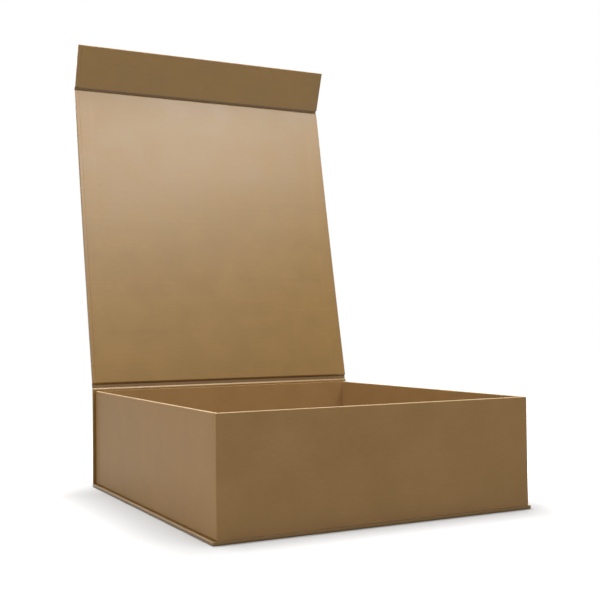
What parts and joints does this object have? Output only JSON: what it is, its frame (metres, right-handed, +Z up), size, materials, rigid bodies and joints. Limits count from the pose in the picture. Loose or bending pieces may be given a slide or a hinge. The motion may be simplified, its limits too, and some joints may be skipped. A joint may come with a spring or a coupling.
{
  "type": "hamper box",
  "caption": "Kraft paper covered hamper box: a shallow square-cornered tray in a book-style case, with a tall hinged lid that ends in a magnetic front flap.",
  "frame": {"origin": "middle of the tray's footprint on the underside of the base, in the plane that the box stands on", "axes": "+X to the box's right seen from its front, +Y from the front wall towards the hinge, +Z up"},
  "size_m": [0.306, 0.3989, 0.4808],
  "materials": {
    "greyboard": "bare grey board, hidden inside the paper",
    "kraft_wrap": "matt brown kraft paper with fine fibres",
    "kraft_lining": "matt brown kraft paper with fine fibres",
    "nickel_plate": "bright nickel plate",
    "steel_disc": "plain pressed steel"
  },
  "bodies": {
    "tray": {"base_board": "greyboard", "base_wrap": "kraft_wrap", "spine_board": "greyboard", "spine_wrap": "kraft_wrap", "front_wall": "greyboard", "back_wall": "greyboard", "left_wall": "greyboard", "right_wall": "greyboard", "tray_floor": "greyboard", "tray_wrap": "kraft_wrap", "floor_liner": "kraft_lining", "catch_disc_left": "steel_disc", "catch_disc_right": "steel_disc", "lid_hinge_paper": "kraft_wrap"},
    "lid": {"lid_board": "greyboard", "lid_wrap": "kraft_wrap", "lid_liner": "kraft_lining", "flap_hinge_paper": "kraft_wrap"},
    "flap": {"flap_board": "greyboard", "flap_wrap": "kraft_wrap", "flap_liner": "kraft_lining", "flap_magnet_left": "nickel_plate", "flap_magnet_right": "nickel_plate"}
  },
  "joints": [
    {"name": "lid_hinge", "type": "hinge", "parent": "tray", "child": "lid", "pos_m": [0, 0.168, 0.10355], "axis": [-1, 0, 0], "range_deg": [-101.3, 93.7], "deforming": ["lid_hinge_paper"]},
    {"name": "flap_hinge", "type": "hinge", "parent": "lid", "child": "flap", "pos_m": [0, 0.23395, 0.43358], "axis": [1, 0, 0], "range_deg": [-30.8, 59.2], "deforming": ["flap_hinge_paper"]}
  ]
}
